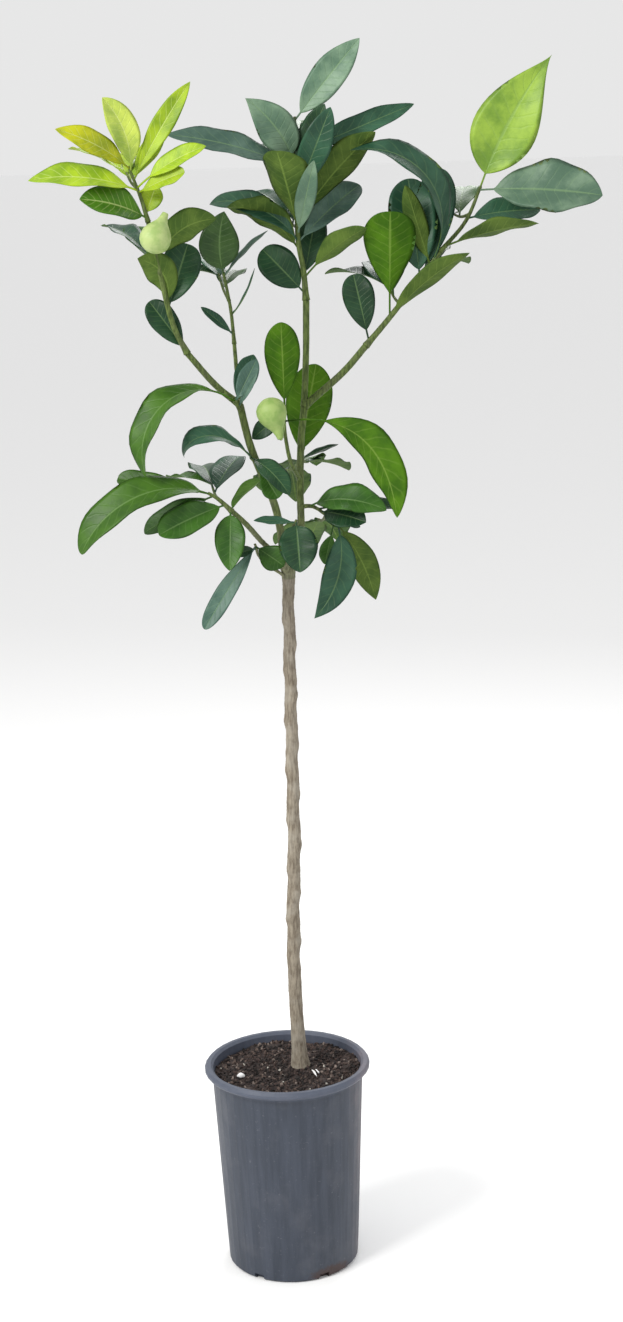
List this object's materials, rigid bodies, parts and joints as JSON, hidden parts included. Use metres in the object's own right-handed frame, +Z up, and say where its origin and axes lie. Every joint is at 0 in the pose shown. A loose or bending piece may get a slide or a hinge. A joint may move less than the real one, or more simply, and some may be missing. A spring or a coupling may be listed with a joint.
{
  "type": "potted star ruby grapefruit tree",
  "caption": "Potted citrus tree: a round nursery pot of soil holds a slim bare trunk that forks into boughs with large glossy leaves and small green young fruit.",
  "frame": {"origin": "centre of the pot's flat underside", "axes": "+Z up the trunk; the picture is taken from the -Y side, so +X is the viewer's right"},
  "size_m": [0.6239, 0.3275, 1.442],
  "materials": {
    "pot_plastic": "satin",
    "soil": "matte",
    "bark": "matte",
    "green_bark": "matte",
    "leaf": "satin",
    "young_leaf": "satin"
  },
  "bodies": {
    "root": {"pot": "pot_plastic", "soil": "soil", "trunk": "bark", "young_flush": "young_leaf", "left_bough": "green_bark", "upper_left_bough": "green_bark", "thin_bough": "green_bark", "centre_bough": "green_bark", "upright_bough": "green_bark", "right_bough": "green_bark", "low_left_bough": "green_bark", "upper_left_foliage": "leaf", "thin_foliage": "leaf", "centre_foliage": "leaf", "right_foliage": "leaf", "right_tip_foliage": "leaf", "left_fork_foliage": "leaf", "left_bough_foliage": "leaf", "centre_front_foliage": "leaf", "centre_back_foliage": "leaf", "low_left_foliage": "leaf", "head_left_foliage": "leaf", "head_right_foliage": "leaf", "head_front_foliage": "leaf"}
  },
  "joints": []
}
